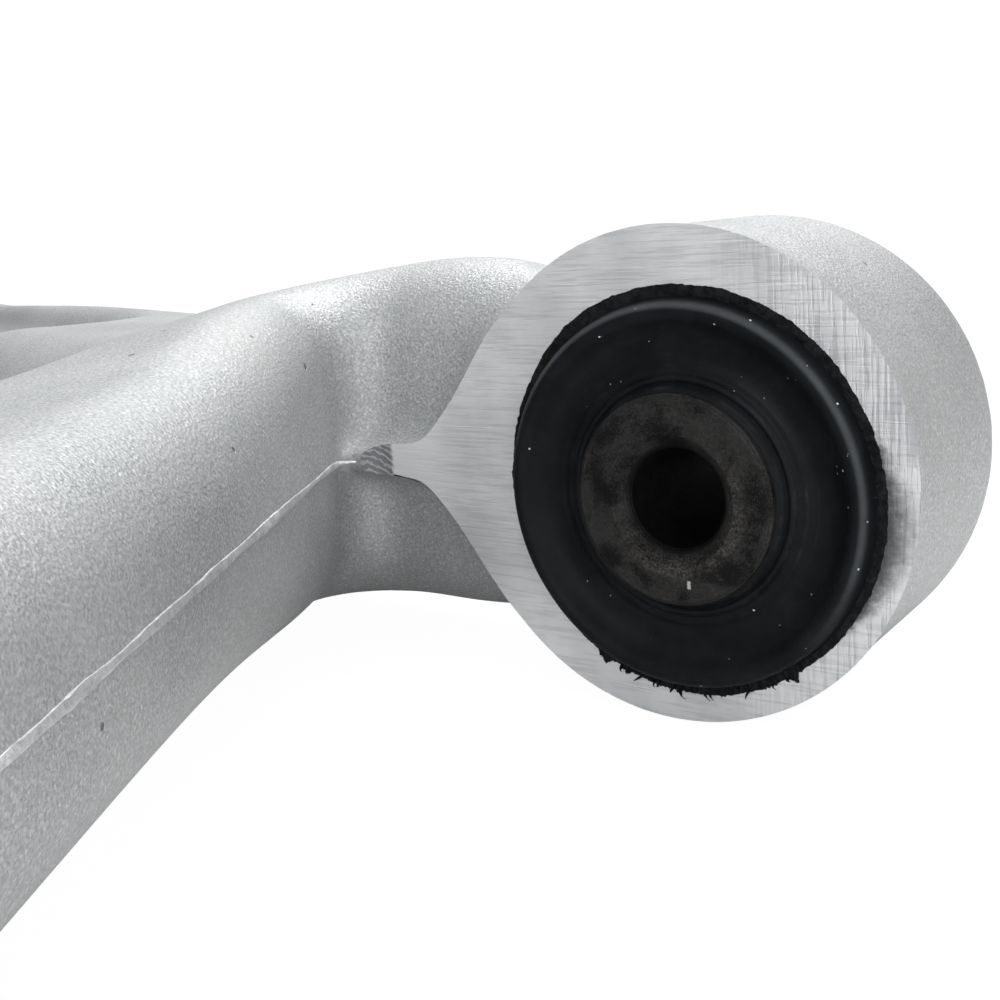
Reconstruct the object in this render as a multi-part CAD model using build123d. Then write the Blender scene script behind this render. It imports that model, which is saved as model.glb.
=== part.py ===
from build123d import *
import os
from math import cos, radians, sin, sqrt, tan

# Lower control arm for one front wheel: a forged aluminium L with two rubber bushes and a ball joint.
# Millimetres. The origin is the middle of the front bush bore, +Y runs along that bore towards the
# front of the car, +X points inboard to the subframe and +Z is up, the way the ball stud points.

# front bush, its axis along Y
boltBore = 6.1
sleeveRadius = 12.7
sleeveLength = 53.6
sleeveChamfer = 1.9
bushRadius = 24.4
shellWall = 1.5
shellFront = 21.5
shellBack = 13.0
barrelX = -1.9
barrelZ = 1.7
barrelProfile = [(-23.5, 30.2), (-10.0, 29.9), (5.0, 29.4), (8.5, 28.4), (11.0, 26.2)]
partingZ = 2.0
bondGap = 0.02

# rear bush, its axis along Z
rearX = 37.0
rearY = -262.0
rearBolt = 7.1
rearSleeveRadius = 15.0
rearSleeveLength = 60.0
rearBushRadius = 33.0
rearShellLength = 46.0
rearRubberLength = 42.0
rearBossRadius = 41.0
rearBossHeight = 42.0
voidInner = 19.5
voidOuter = 27.0
voidSpan = 74.0

# ball joint, its stud along Z
ballX = -338.0
ballY = 78.0
ballZ = 3.0
ballRadius = 13.5
ballBossRadius = 31.0
ballBossTop = 15.0
ballBossBottom = -13.0
topSpotRadius = 33.0
bottomSpotRadius = 27.5
canRadius = 22.0
canWall = 4.5
neckRadius = 7.5
seatRadius = 9.0
threadRadius = 6.0
coneAngle = 26.5
grease = 0.05

# forging
draft = 5.0
armUp = 16.5
armDown = 18.0
edgeRound = 9.0
pocketCorner = 8.0

rearAxis = Pos(rearX, rearY, partingZ)
ballAxis = Pos(ballX, ballY, ballZ)


def turned(points, axis=Axis.Z):
    """A ring or disc: the closed outline is (radius, height along the axis)."""
    outline = make_face(Polyline(*points, close=True))
    if axis == Axis.Z:
        outline = Plane.XZ * outline
    return revolve(outline, axis)


def cylinder_y(radius, length):
    return Rot(90, 0, 0) * Cylinder(radius, length)


def chamfered_tube(inner, outer, length, cut):
    """Outline of a sleeve whose bore opens in a chamfer at both ends."""
    half = length / 2
    lip = 0.6
    return [
        (inner, half - cut),
        (inner + cut, half),
        (outer - lip, half),
        (outer, half - lip),
        (outer, lip - half),
        (outer - lip, -half),
        (inner + cut, -half),
        (inner, cut - half),
    ]


def drafted(outline, height, upward, rounding):
    """Half of a forging on one side of the parting plane, narrowing away from it."""
    way = 1 if upward else -1
    half = extrude(outline, amount=height, dir=(0, 0, way), taper=draft)
    last = half.faces().sort_by(Axis.Z)[-1 if upward else 0]
    return fillet(last.edges(), rounding) if rounding else half


def arm_outline():
    """Plan of the arm at the parting plane: beam out to the ball joint, leg back to the rear bush."""
    corners = [
        (-20, 20),
        (-88, 19),
        (-197, 65),
        (-329, 107.5),
        (-348, 48.8),
        (-89, -37.5),
        (-3, -250),
        (72.3, -241.6),
        (-50.5, -28.9),
        (-50.5, -14),
        (-20, -14),
    ]
    face = make_face(Polyline(*corners, close=True))
    for corner, radius in ((1, 90), (2, 150), (5, 60), (8, 40)):
        x, y = corners[corner]
        near = face.vertices().sort_by_distance((x, y, 0))[0]
        face = fillet(near, radius)
    return Pos(0, 0, partingZ) * face


def pocket(corners, bottom, top, upward):
    """A forged pocket that opens upward or downward, its walls leaning out with the draft."""
    face = make_face(Polyline(*corners, close=True))
    face = fillet(face.vertices(), pocketCorner)
    start = bottom if upward else top
    way = 1 if upward else -1
    return extrude(Pos(0, 0, start) * face, amount=top - bottom, dir=(0, 0, way), taper=-draft)


def neck():
    """The hump that carries the arm's height up to the barrel."""
    side = [(-15, 27), (-40, 28), (-58, 25.5), (-78, 20.5), (-96, 17.5)]
    under = [(-92, -14.5), (-74, -17.5), (-56, -21), (-40, -23), (-15, -23)]
    edges = [Spline(*side), Line(side[-1], under[0]), Spline(*under), Line(under[-1], side[0])]
    face = Plane.XZ * make_face(edges)
    body = Pos(0, 13, 0) * extrude(face, amount=35, dir=(0, -1, 0))
    long = body.edges().filter_by(GeomType.BSPLINE)
    return fillet(long, 9)


def barrel():
    """Drafted drum round the front bush, as (distance along the bore, radius)."""
    side = [(radius, along) for along, radius in barrelProfile]
    return turned([(0, side[0][1])] + side + [(0, side[-1][1])], Axis.Y)


def arm_forging():
    plan = arm_outline()
    arm = drafted(plan, armUp, True, edgeRound) + drafted(plan, armDown, False, edgeRound)
    arm += neck()
    arm += Pos(barrelX, 0, barrelZ) * barrel()
    boss = rearAxis * Cylinder(rearBossRadius, rearBossHeight)
    arm += fillet(boss.edges().filter_by(GeomType.CIRCLE), 3)
    high = armUp + partingZ
    low = partingZ - armDown
    ball_boss = Pos(ballX, ballY, (high + low) / 2) * Cylinder(ballBossRadius, high - low)
    arm += fillet(ball_boss.edges().filter_by(GeomType.CIRCLE), 3)
    beam_top = [(-118, -2), (-196, 40), (-297, 78), (-300, 52), (-208, 17)]
    beam_under = [(-128, -4), (-196, 46), (-293, 80), (-300, 50), (-214, 18)]
    leg_under = [(-52, -80), (4, -212), (38, -212), (-25, -97)]
    arm -= pocket(beam_top, 9, 40, True)
    arm -= pocket(beam_under, -40, -4, False)
    arm -= pocket(leg_under, -40, 6, False)
    arm -= cylinder_y(bushRadius, 100)
    arm -= rearAxis * Cylinder(rearBushRadius, 2 * rearBossHeight)
    arm -= Pos(ballX, ballY, 0) * Cylinder(canRadius, 100)
    arm -= Pos(ballX, ballY, ballBossTop + 20) * Cylinder(topSpotRadius, 40)
    arm -= Pos(ballX, ballY, ballBossBottom - 20) * Cylinder(bottomSpotRadius, 40)
    return arm


def front_bush_outer_sleeve():
    inner = bushRadius - shellWall
    wall = [(inner, -shellFront), (bushRadius, -shellFront), (bushRadius, shellBack), (inner, shellBack)]
    return turned(wall, Axis.Y)


def front_bush_rubber():
    """Rubber bonded between the sleeves: a rounded lip round a shallow dish in front, a cone behind."""
    inside = sleeveRadius + bondGap
    core = bushRadius - shellWall
    rim = bushRadius - 0.2
    front = [
        (core, -shellFront),
        (rim, -shellFront),
        (rim, -22.6),
        (rim - 0.7, -23.6),
        (rim - 1.0, -25.2),
        (rim - 1.6, -25.9),
        (rim - 2.3, -26.1),
        (rim - 3.4, -25.3),
        (19.4, -23.7),
        (16.6, -23.4),
        (15.4, -24.2),
        (14.4, -24.4),
        (14.2, -25.4),
        (inside, -25.6),
    ]
    back = [
        (inside, 25.6),
        (14.4, 25.2),
        (15.2, 22.5),
        (17.5, 18.0),
        (20.5, 14.9),
        (core - 0.2, 13.6),
        (core, shellBack),
    ]
    return turned(front + back, Axis.Y)


def front_bush_inner_sleeve():
    return turned(chamfered_tube(boltBore, sleeveRadius, sleeveLength, sleeveChamfer), Axis.Y)


def rear_bush_outer_sleeve():
    half = rearShellLength / 2
    inner = rearBushRadius - shellWall
    wall = [(inner, -half), (rearBushRadius, -half), (rearBushRadius, half), (inner, half)]
    return rearAxis * turned(wall)


def kidney(start):
    """One curved void that lets the bush give fore and aft."""
    ring = Cylinder(voidOuter, 80) - Cylinder(voidInner, 90)
    reach = 60
    left = (reach * cos(radians(start)), reach * sin(radians(start)))
    right = (reach * cos(radians(start + voidSpan)), reach * sin(radians(start + voidSpan)))
    wedge = make_face(Polyline((0, 0), left, right, close=True))
    cut = ring & extrude(Pos(0, 0, -50) * wedge, amount=100)
    return fillet(cut.edges().filter_by(Axis.Z), 2.5)


def rear_bush_rubber():
    half = rearRubberLength / 2
    inner = rearSleeveRadius + bondGap
    outer = rearBushRadius - shellWall
    dish = 3.0
    body = turned([
        (inner, -half),
        (inner + 3, -half),
        (outer - 4, dish - half),
        (outer, dish - half - 1),
        (outer, half - dish + 1),
        (outer - 4, half - dish),
        (inner + 3, half),
        (inner, half),
    ])
    for start in (90 - voidSpan / 2, 270 - voidSpan / 2):
        body -= kidney(start)
    return rearAxis * body


def rear_bush_inner_sleeve():
    return rearAxis * turned(chamfered_tube(rearBolt, rearSleeveRadius, rearSleeveLength, 1.5))


# In the ball joint every height is counted from the centre of the ball.
def opening(height):
    """Radius that the tilted neck sweeps at this height, with room to spare."""
    return height * tan(radians(coneAngle)) + neckRadius / cos(radians(coneAngle)) + 0.35


def sphere_band(radius, low, high, steps=14):
    """Points (radius, height) along a sphere between two heights."""
    heights = [low + (high - low) * n / steps for n in range(steps + 1)]
    return [(sqrt(radius * radius - height * height), height) for height in heights]


def ball_joint_housing():
    """Pressed steel can: flange below, circlip groove, boot groove and a conical throat."""
    inner = canRadius - canWall
    flange = ballBossBottom - ballZ
    clip = ballBossTop - ballZ
    return ballAxis * turned([
        (inner + 0.2, -24.4),
        (canRadius - 1.2, -24.4),
        (canRadius, -23.2),
        (canRadius, flange - 3),
        (canRadius + 3.5, flange - 3),
        (canRadius + 3.5, flange),
        (canRadius, flange),
        (canRadius, clip),
        (canRadius - 1.6, clip),
        (canRadius - 1.6, clip + 1.7),
        (canRadius, clip + 1.7),
        (canRadius, clip + 2.9),
        (canRadius - 2.5, clip + 3.4),
        (canRadius - 2.5, clip + 6.2),
        (canRadius - 1.1, clip + 6.6),
        (canRadius - 1.1, clip + 7.5),
        (opening(clip + 7.5), clip + 7.5),
        (opening(6.9), 6.9),
        (inner, 6.9),
        (inner, -20.5),
        (inner + 2, -20.5),
        (inner + 2, -22.8),
        (inner + 0.2, -22.8),
    ])


def ball_bearing_shell():
    """Plastic shell that grips the ball above and below its middle."""
    outer = canRadius - canWall
    top = 6.0
    bottom = -7.6
    inside = sphere_band(ballRadius + grease, bottom, top)
    return ballAxis * turned(inside + [(opening(6.8), 6.8), (outer, 6.8), (outer, bottom)])


def arc_outline(radius, angle):
    """Points (radius, height) on a sphere, from straight down round to this angle."""
    steps = 10
    turn = [radians(angle * n / steps) for n in range(steps + 1)]
    return [(radius * sin(a), -radius * cos(a)) for a in turn]


def thrust_pad():
    """Thin floating cap between the ball and the thrust plate, free to turn with either."""
    inside = arc_outline(ballRadius + grease, 31)
    outside = arc_outline(ballRadius + 1.95, 31)
    return ballAxis * turned(inside + outside[::-1])


def thrust_plate():
    outer = canRadius - canWall - 0.1
    cup = arc_outline(ballRadius + 2.0, 58.5)
    return ballAxis * turned(cup + [(outer, cup[-1][1]), (outer, -18.4), (0, -18.4)])


def preload_spring():
    """Coned spring washer under the thrust plate."""
    return ballAxis * turned([(6, -18.4), (7.5, -18.4), (16.8, -19.5), (16.8, -20.5), (15.3, -20.5), (6, -19.6)])


def cover_plate():
    return ballAxis * turned([(0, -20.5), (19.4, -20.5), (19.4, -22.8), (12, -22.8), (10, -23.6), (0, -23.6)])


def ball_stud():
    """Ball, neck, seal seat, taper and thread turned in one piece."""
    join = sqrt(ballRadius**2 - neckRadius**2)
    ball = sphere_band(ballRadius, -ballRadius, join, 40)
    shank = [
        (neckRadius, 24.0),
        (seatRadius, 27.0),
        (seatRadius, 34.5),
        (seatRadius - 1.25, 54.5),
        (threadRadius - 0.8, 55.3),
        (threadRadius - 0.8, 56.8),
        (threadRadius, 57.6),
        (threadRadius, 74.8),
        (threadRadius - 1.2, 76.0),
        (0, 76.0),
    ]
    return ballAxis * turned(ball + shank)


def housing_circlip():
    low = ballBossTop - ballZ + 0.05
    ring = turned([(canRadius - 1.5, low), (canRadius + 2.8, low), (canRadius + 2.8, low + 1.55),
                   (canRadius - 1.5, low + 1.55)])
    gap = Pos(canRadius, 0, low) * Box(12, 7, 10)
    return ballAxis * (ring - gap)


def dust_boot():
    """Rubber boot from the can's groove out round and in to the seal collar."""
    low = ballBossTop - ballZ
    seat = canRadius - 2.45
    neck_in = seatRadius + 2.05
    outline = [
        (seat, low + 3.6),
        (seat + 1.9, low + 3.6),
        (seat + 2.1, low + 4.2),
        (seat + 1.5, low + 4.9),
        (seat + 2.1, low + 5.7),
        (seat + 4.6, low + 7.6),
        (seat + 5.2, low + 10.4),
        (seat + 3.2, low + 13.0),
        (seat - 2.0, low + 15.0),
        (neck_in + 2.6, low + 16.2),
        (neck_in + 1.7, low + 17.2),
        (neck_in + 1.7, low + 19.0),
        (neck_in + 2.2, low + 20.8),
        (neck_in, low + 20.8),
        (neck_in, low + 16.4),
        (neck_in + 1.0, low + 14.9),
        (seat - 2.6, low + 13.2),
        (seat + 1.8, low + 11.6),
        (seat + 3.2, low + 10.0),
        (seat + 2.8, low + 8.7),
        (seat + 1.7, low + 7.9),
        (seat + 1.7, low + 6.4),
        (seat, low + 5.9),
    ]
    return ballAxis * turned(outline)


def wire_ring(radius, wire, height):
    return ballAxis * Pos(0, 0, height) * Torus(radius, wire)


def boot_lower_ring():
    return wire_ring(canRadius + 0.1, 0.75, ballBossTop - ballZ + 4.9)


def boot_upper_ring():
    return wire_ring(seatRadius + 2.05 + 1.7 + 0.95, 0.75, ballBossTop - ballZ + 18.1)


def boot_seal_collar():
    low = 27.6
    inner = seatRadius + grease
    return ballAxis * turned([(inner, low), (inner + 1.7, low), (inner + 1.7, low + 6.2), (inner, low + 6.2)])


def hexagon(across_flats, height):
    return extrude(RegularPolygon(across_flats / 2, 6, major_radius=False), amount=height)


def stud_nut():
    low = 60.0
    height = 10.0
    body = hexagon(19, height)
    dome = turned([(0, 0), (9.2, 0), (11.2, 1.2), (11.2, 8.6), (9.3, height), (0, height)])
    collar = Pos(0, 0, height) * Cylinder(8.6, 3.4, align=(Align.CENTER, Align.CENTER, Align.MIN))
    body = (body & dome) + collar
    body -= Cylinder(threadRadius, 60)
    body -= Pos(0, 0, height + 0.4) * Cylinder(7.6, 2.2, align=(Align.CENTER, Align.CENTER, Align.MIN))
    return ballAxis * Pos(0, 0, low) * body


def nut_locking_insert():
    low = 70.4
    wall = [(threadRadius, low), (7.6, low), (7.6, low + 2.2), (threadRadius, low + 2.2)]
    return ballAxis * turned(wall)


makers = [
    arm_forging,
    front_bush_outer_sleeve,
    front_bush_rubber,
    front_bush_inner_sleeve,
    rear_bush_outer_sleeve,
    rear_bush_rubber,
    rear_bush_inner_sleeve,
    ball_joint_housing,
    ball_bearing_shell,
    thrust_pad,
    thrust_plate,
    preload_spring,
    cover_plate,
    ball_stud,
    housing_circlip,
    dust_boot,
    boot_lower_ring,
    boot_upper_ring,
    boot_seal_collar,
    stud_nut,
    nut_locking_insert,
]

os.makedirs("parts", exist_ok=True)
for maker in makers:
    shape = maker()
    export_step(shape, f"parts/{maker.__name__}.step")
    print(maker.__name__, round(shape.volume))
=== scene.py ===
import math
import bpy
import bmesh
import numpy as np
import openvdb
from mathutils import Matrix, Vector


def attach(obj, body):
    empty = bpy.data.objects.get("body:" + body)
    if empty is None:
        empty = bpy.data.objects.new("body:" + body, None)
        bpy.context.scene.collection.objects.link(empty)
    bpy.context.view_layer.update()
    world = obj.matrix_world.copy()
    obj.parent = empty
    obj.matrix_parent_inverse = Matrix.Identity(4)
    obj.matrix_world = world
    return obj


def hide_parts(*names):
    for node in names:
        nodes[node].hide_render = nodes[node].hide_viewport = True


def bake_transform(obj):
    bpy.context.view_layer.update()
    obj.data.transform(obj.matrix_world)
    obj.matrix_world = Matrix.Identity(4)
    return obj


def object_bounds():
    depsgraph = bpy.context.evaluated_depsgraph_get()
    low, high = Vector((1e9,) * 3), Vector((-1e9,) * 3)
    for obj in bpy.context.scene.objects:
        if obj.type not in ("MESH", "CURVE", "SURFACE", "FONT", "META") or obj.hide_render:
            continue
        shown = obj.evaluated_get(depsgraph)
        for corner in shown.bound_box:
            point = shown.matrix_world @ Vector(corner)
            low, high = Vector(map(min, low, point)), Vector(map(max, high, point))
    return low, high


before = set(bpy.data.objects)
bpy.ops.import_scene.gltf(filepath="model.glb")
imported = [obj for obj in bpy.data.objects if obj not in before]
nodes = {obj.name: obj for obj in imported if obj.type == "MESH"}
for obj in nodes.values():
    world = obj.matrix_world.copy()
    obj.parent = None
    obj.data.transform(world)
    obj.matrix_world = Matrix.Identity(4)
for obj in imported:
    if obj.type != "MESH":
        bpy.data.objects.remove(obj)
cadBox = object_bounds()
mm = 0.001


# a socket that can be used in Python expressions
class Wire:
    def __init__(self, mat, socket):
        self.mat = mat
        self.socket = socket

    def maths(self, operation, *values):
        return self.mat.node("ShaderNodeMath", {"operation": operation}, dict(enumerate(values)))

    def __add__(self, other):
        return self.maths("ADD", self, other)

    def __radd__(self, other):
        return self.maths("ADD", other, self)

    def __sub__(self, other):
        return self.maths("SUBTRACT", self, other)

    def __rsub__(self, other):
        return self.maths("SUBTRACT", other, self)

    def __mul__(self, other):
        return self.maths("MULTIPLY", self, other)

    def __rmul__(self, other):
        return self.maths("MULTIPLY", other, self)

    def __truediv__(self, other):
        return self.maths("DIVIDE", self, other)

    def __abs__(self):
        return self.maths("ABSOLUTE", self)

    def sin(self):
        return self.maths("SINE", self)

    def step(self, low, high):
        return self.mat.node("ShaderNodeMapRange", {"interpolation_type": "SMOOTHSTEP"},
                             {"Value": self, "From Min": low, "From Max": high})


# a material with one principled shader, and short calls for the nodes it is built from
class Material:
    def __init__(self, name):
        self.mat = bpy.data.materials.new(name)
        self.mat.use_nodes = True
        self.tree = self.mat.node_tree
        self.tree.nodes.clear()
        self.out = self.tree.nodes.new("ShaderNodeOutputMaterial")
        self.shader = self.tree.nodes.new("ShaderNodeBsdfPrincipled")
        self.tree.links.new(self.shader.outputs[0], self.out.inputs["Surface"])
        self.place = self.node("ShaderNodeTexCoord", {}, {}, "Object")

    def node(self, kind, settings, values, output=0):
        made = self.tree.nodes.new(kind)
        for key, value in settings.items():
            setattr(made, key, value)
        for key, value in values.items():
            self.plug(made.inputs[key], value)
        return Wire(self, made.outputs[output])

    def plug(self, socket, value):
        if isinstance(value, Wire):
            self.tree.links.new(value.socket, socket)
        elif socket.type == "RGBA":
            socket.default_value = (*value, 1)
        else:
            socket.default_value = value

    def set(self, **values):
        for key, value in values.items():
            self.plug(self.shader.inputs[key.replace("_", " ")], value)

    def noise(self, size, detail=3, rough=0.5):
        return self.node("ShaderNodeTexNoise", {}, {
            "Vector": self.place, "Scale": 1 / size, "Detail": detail, "Roughness": rough})

    def cells(self, size, output="Distance"):
        return self.node("ShaderNodeTexVoronoi", {}, {"Vector": self.place, "Scale": 1 / size}, output)

    def mix(self, share, low, high):
        return self.node("ShaderNodeMix", {"data_type": "RGBA"}, {0: share, 6: low, 7: high}, 2)

    def vector(self, operation, *values, output=0):
        return self.node("ShaderNodeVectorMath", {"operation": operation}, dict(enumerate(values)), output)

    def axis(self, index, place=None):
        return self.node("ShaderNodeSeparateXYZ", {}, {0: place or self.place}, index)

    def bump(self, height, distance, strength):
        return self.node("ShaderNodeBump", {}, {"Height": height, "Distance": distance, "Strength": strength})


# the forging is a distance field in millimetres, its heights counted from the parting plane
arm = {
    "partingZ": 2.0,
    "draft": math.tan(math.radians(5)),
    "corners": [(-20, 13), (-88, 19), (-197, 65), (-329.3, 105.8), (-347.4, 50.8), (-89, -37.5),
                (-3, -250), (72.3, -241.6), (-55.6, -20.0), (-20, -19.5)],
    "rounds": {1: 90, 2: 150, 5: 60, 8: 5},  # radius at a corner, by its place in the list
    "up": 16.4, "down": 18.3, "crown": 12.0,
    "neck": (-42.0, -17.0), "neckUp": 11.0, "neckDown": 6.4, "neckReach": 36.0,
    "voxel": 1.0,
    "low": (-373, -307, -31), "high": (82, 113, 37),
}
barrel = {
    "x": -1.9, "z": -0.3, "face": -23.5, "stock": -27.0, "far": 11.0, "farRound": 4.5,
    "along": [-27.0, -23.5, -21.5, -10.0, 5.0, 12.0],
    "radius": [30.4, 30.2, 29.8, 29.9, 30.0, 29.6], "lean": 0.02,
    "bore": 24.4, "tool": 48.3, "toolCorner": 3.6, "toolThick": 7.5, "blend": 9.0,
}
web = {"half": 2.1, "flare": -39.4, "flareSoft": 1.6, "front": -26.4, "left": -53.0, "blend": 2.6}
rearBoss = {
    "centre": (37.0, -262.0), "radius": 40.4, "drum": (-22.5, 22.5), "blend": 16.0,
    "low": -19.0, "high": 23.0, "bore": 33.0, "spot": 46,
}
ballBoss = {
    "centre": (-338.0, 78.0), "radius": 30.1, "drum": (-18.5, 16.9), "blend": 5.0,
    "low": -13.0, "high": 15.0, "bore": 22.0, "topSpot": 33.0, "bottomSpot": 27.5,
}
pockets = [
    {"corners": [(-112, -6), (-194, 42), (-296, 80), (-301, 50), (-208, 15)],
     "floor": 9.0, "way": 1, "wall": 0.45},
    {"corners": [(-122, -8), (-194, 45), (-296, 81), (-301, 49), (-210, 16)],
     "floor": -5.0, "way": -1, "wall": 0.2},
    {"corners": [(-33, -122), (2, -214), (40, -214), (-3, -130)],
     "floor": 5.0, "way": -1, "wall": 0.2},
]
pocketShape = {"corner": 9.0, "floorRound": 6.0, "rimRound": 5.0}


# corners in plan, some of them rounded off
def roundedOutline(corners, rounds, step=2.5):
    points = []
    for n, corner in enumerate(corners):
        here = np.array(corner, float)
        if n not in rounds:
            points.append(here)
            continue
        back = np.array(corners[n - 1], float) - here
        ahead = np.array(corners[(n + 1) % len(corners)], float) - here
        back /= np.linalg.norm(back)
        ahead /= np.linalg.norm(ahead)
        half = math.acos(np.clip(back @ ahead, -1, 1)) / 2
        middle = here + (back + ahead) / np.linalg.norm(back + ahead) * rounds[n] / math.sin(half)
        first = here + back * rounds[n] / math.tan(half) - middle
        last = here + ahead * rounds[n] / math.tan(half) - middle
        turn = (math.pi - 2 * half) * np.sign(first[0] * last[1] - first[1] * last[0])
        count = int(abs(turn) * rounds[n] / step) + 2
        for k in range(count + 1):
            c, s = math.cos(turn * k / count), math.sin(turn * k / count)
            points.append(middle + np.array([[c, -s], [s, c]]) @ first)
    return np.array(points)


# distance to a closed outline in plan, below zero inside it
def planDistance(x, y, outline):
    best = np.full(x.shape, 1e9)
    inside = np.zeros(x.shape, bool)
    for (ax, ay), (bx, by) in zip(outline, np.roll(outline, -1, axis=0)):
        ex, ey = bx - ax, by - ay
        t = np.clip(((x - ax) * ex + (y - ay) * ey) / (ex * ex + ey * ey), 0, 1)
        best = np.minimum(best, (x - ax - t * ex) ** 2 + (y - ay - t * ey) ** 2)
        if ay != by:
            inside ^= ((ay > y) != (by > y)) & (x < ax + (y - ay) * ex / ey)
    return (np.where(inside, -1, 1) * np.sqrt(best)).astype(np.float32)


# the overlap of two distances with their edge rounded
def rounded(side, cap, radius):
    a, b = side + radius, cap + radius
    return np.minimum(np.maximum(a, b), 0) + np.hypot(np.maximum(a, 0), np.maximum(b, 0)) - radius


# two distances joined or cut with a soft fillet
def union(a, b, soft):
    h = np.maximum(soft - np.abs(a - b), 0) / soft
    return np.minimum(a, b) - h * h * soft / 4


def carve(a, b, soft):
    return -union(-a, b, soft)


# distance to the skin of the forging at every point of a grid, and the low corner of that grid
def forgingField():
    low, high, size = np.array(arm["low"], float), np.array(arm["high"], float), arm["voxel"]
    nx, ny, nz = np.ceil((high - low) / size).astype(int)
    x = (low[0] + size * np.arange(nx, dtype=np.float32))[:, None]
    y = (low[1] + size * np.arange(ny, dtype=np.float32))[None, :]
    x, y = np.broadcast_arrays(x, y)
    z = (low[2] + size * np.arange(nz, dtype=np.float32))[None, None, :] - arm["partingZ"]
    plan = planDistance(x, y, roundedOutline(arm["corners"], arm["rounds"]))
    near = np.exp(-((x - arm["neck"][0]) ** 2 + (y - arm["neck"][1]) ** 2) / arm["neckReach"] ** 2)
    up = (arm["up"] + arm["neckUp"] * near)[..., None]
    down = (arm["down"] + arm["neckDown"] * near)[..., None]
    height = np.where(z > 0, z - up, -z - down)
    field = rounded(plan[..., None] + arm["draft"] * np.abs(z), height, arm["crown"])
    # the two fat ends and the barrel of the front bush
    for boss in (rearBoss, ballBoss):
        away = np.hypot(x - boss["centre"][0], y - boss["centre"][1])[..., None] - boss["radius"]
        under, top = boss["drum"]
        middle, half = (top + under) / 2, (top - under) / 2
        drum = rounded(away + 0.03 * np.abs(z), np.abs(z - middle) - half, 5.0)
        field = union(field, drum.astype(np.float32), boss["blend"])
    girth = np.interp(y, barrel["along"], barrel["radius"]).astype(np.float32)[..., None]
    inset = np.where(x > barrel["x"], barrel["lean"] * (y - barrel["face"]), 0)
    across = np.hypot((x - barrel["x"] + inset)[..., None], z - barrel["z"]) - girth
    ends = np.where(y > 0, y - barrel["far"] - 0.3, barrel["stock"] - y)[..., None]
    drum = np.where(y[..., None] > 0, rounded(across, ends, barrel["farRound"]), rounded(across, ends, 1.0))
    field = union(field, drum.astype(np.float32), barrel["blend"])
    # web left on the parting plane between the leg and the barrel, later milled flush with the barrel
    flare = x - web["flare"]
    thick = web["half"] + 0.5 * (flare + np.hypot(flare, web["flareSoft"])) * 1.08 + 0.3 * (y - barrel["face"])
    ends = np.maximum(np.maximum(web["front"] - y, y + 5), np.maximum(web["left"] - x, x + 26))
    sheet = rounded((np.abs(z) - thick[..., None]) * 0.72, ends[..., None], 0.8)
    field = union(field, sheet.astype(np.float32), web["blend"])
    for pocket in pockets:
        corners = pocket["corners"]
        rounds = dict.fromkeys(range(len(corners)), pocketShape["corner"])
        side = planDistance(x, y, roundedOutline(corners, rounds))[..., None]
        depth = pocket["way"] * (z + arm["partingZ"] - pocket["floor"])
        hole = carve(side - pocket["wall"] * depth, depth, pocketShape["floorRound"])
        field = carve(field, hole.astype(np.float32), pocketShape["rimRound"])
    return field.astype(np.float32), low


def meshFrom(name, points, faces, material):
    mesh = bpy.data.meshes.new(name)
    mesh.from_pydata(points, [], faces)
    mesh.materials.append(material.mat)
    mesh.validate()
    made = bpy.data.objects.new(name, mesh)
    bpy.context.scene.collection.objects.link(made)
    return made


# an outline of radius and height turned once round an axis
def turnedMesh(name, outline, axis, centre, materials, count, slot=0):
    points, faces = [], []
    rings = len(outline)
    for k in range(count):
        c, s = math.cos(2 * math.pi * k / count), math.sin(2 * math.pi * k / count)
        for r, h in outline:
            spot = {"Z": (r * c, r * s, h), "Y": (r * c, h, -r * s)}[axis]
            points.append([(spot[i] + centre[i]) * mm for i in range(3)])
    for k in range(count):
        for n in range(rings):
            a, b = k * rings + n, k * rings + (n + 1) % rings
            c, d = ((k + 1) % count) * rings + (n + 1) % rings, ((k + 1) % count) * rings + n
            faces.append((a, b, c, d))
    mesh = bpy.data.meshes.new(name)
    mesh.from_pydata(points, [], faces)
    for material in materials:
        mesh.materials.append(material.mat)
    mesh.polygons.foreach_set("material_index", [slot] * len(faces))
    made = bpy.data.objects.new(name, mesh)
    bpy.context.scene.collection.objects.link(made)
    weld = bmesh.new()
    weld.from_mesh(mesh)
    bmesh.ops.remove_doubles(weld, verts=weld.verts, dist=1e-7)
    bmesh.ops.recalc_face_normals(weld, faces=weld.faces)
    weld.to_mesh(mesh)
    weld.free()
    return made


# swaps the mesh for what its modifiers make of it
def applyAll(made):
    graph = bpy.context.evaluated_depsgraph_get()
    graph.update()
    mesh = bpy.data.meshes.new_from_object(made.evaluated_get(graph), depsgraph=graph)
    made.modifiers.clear()
    made.data = mesh
    return made


def smoothBy(made, degrees):
    made.data.shade_smooth()
    made.data.set_sharp_from_angle(angle=math.radians(degrees))


def cutWith(made, cutter):
    modifier = made.modifiers.new("cut", "BOOLEAN")
    modifier.operation = "DIFFERENCE"
    modifier.solver = "MANIFOLD"
    modifier.object = cutter
    applyAll(made)
    bpy.data.objects.remove(cutter)


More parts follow.
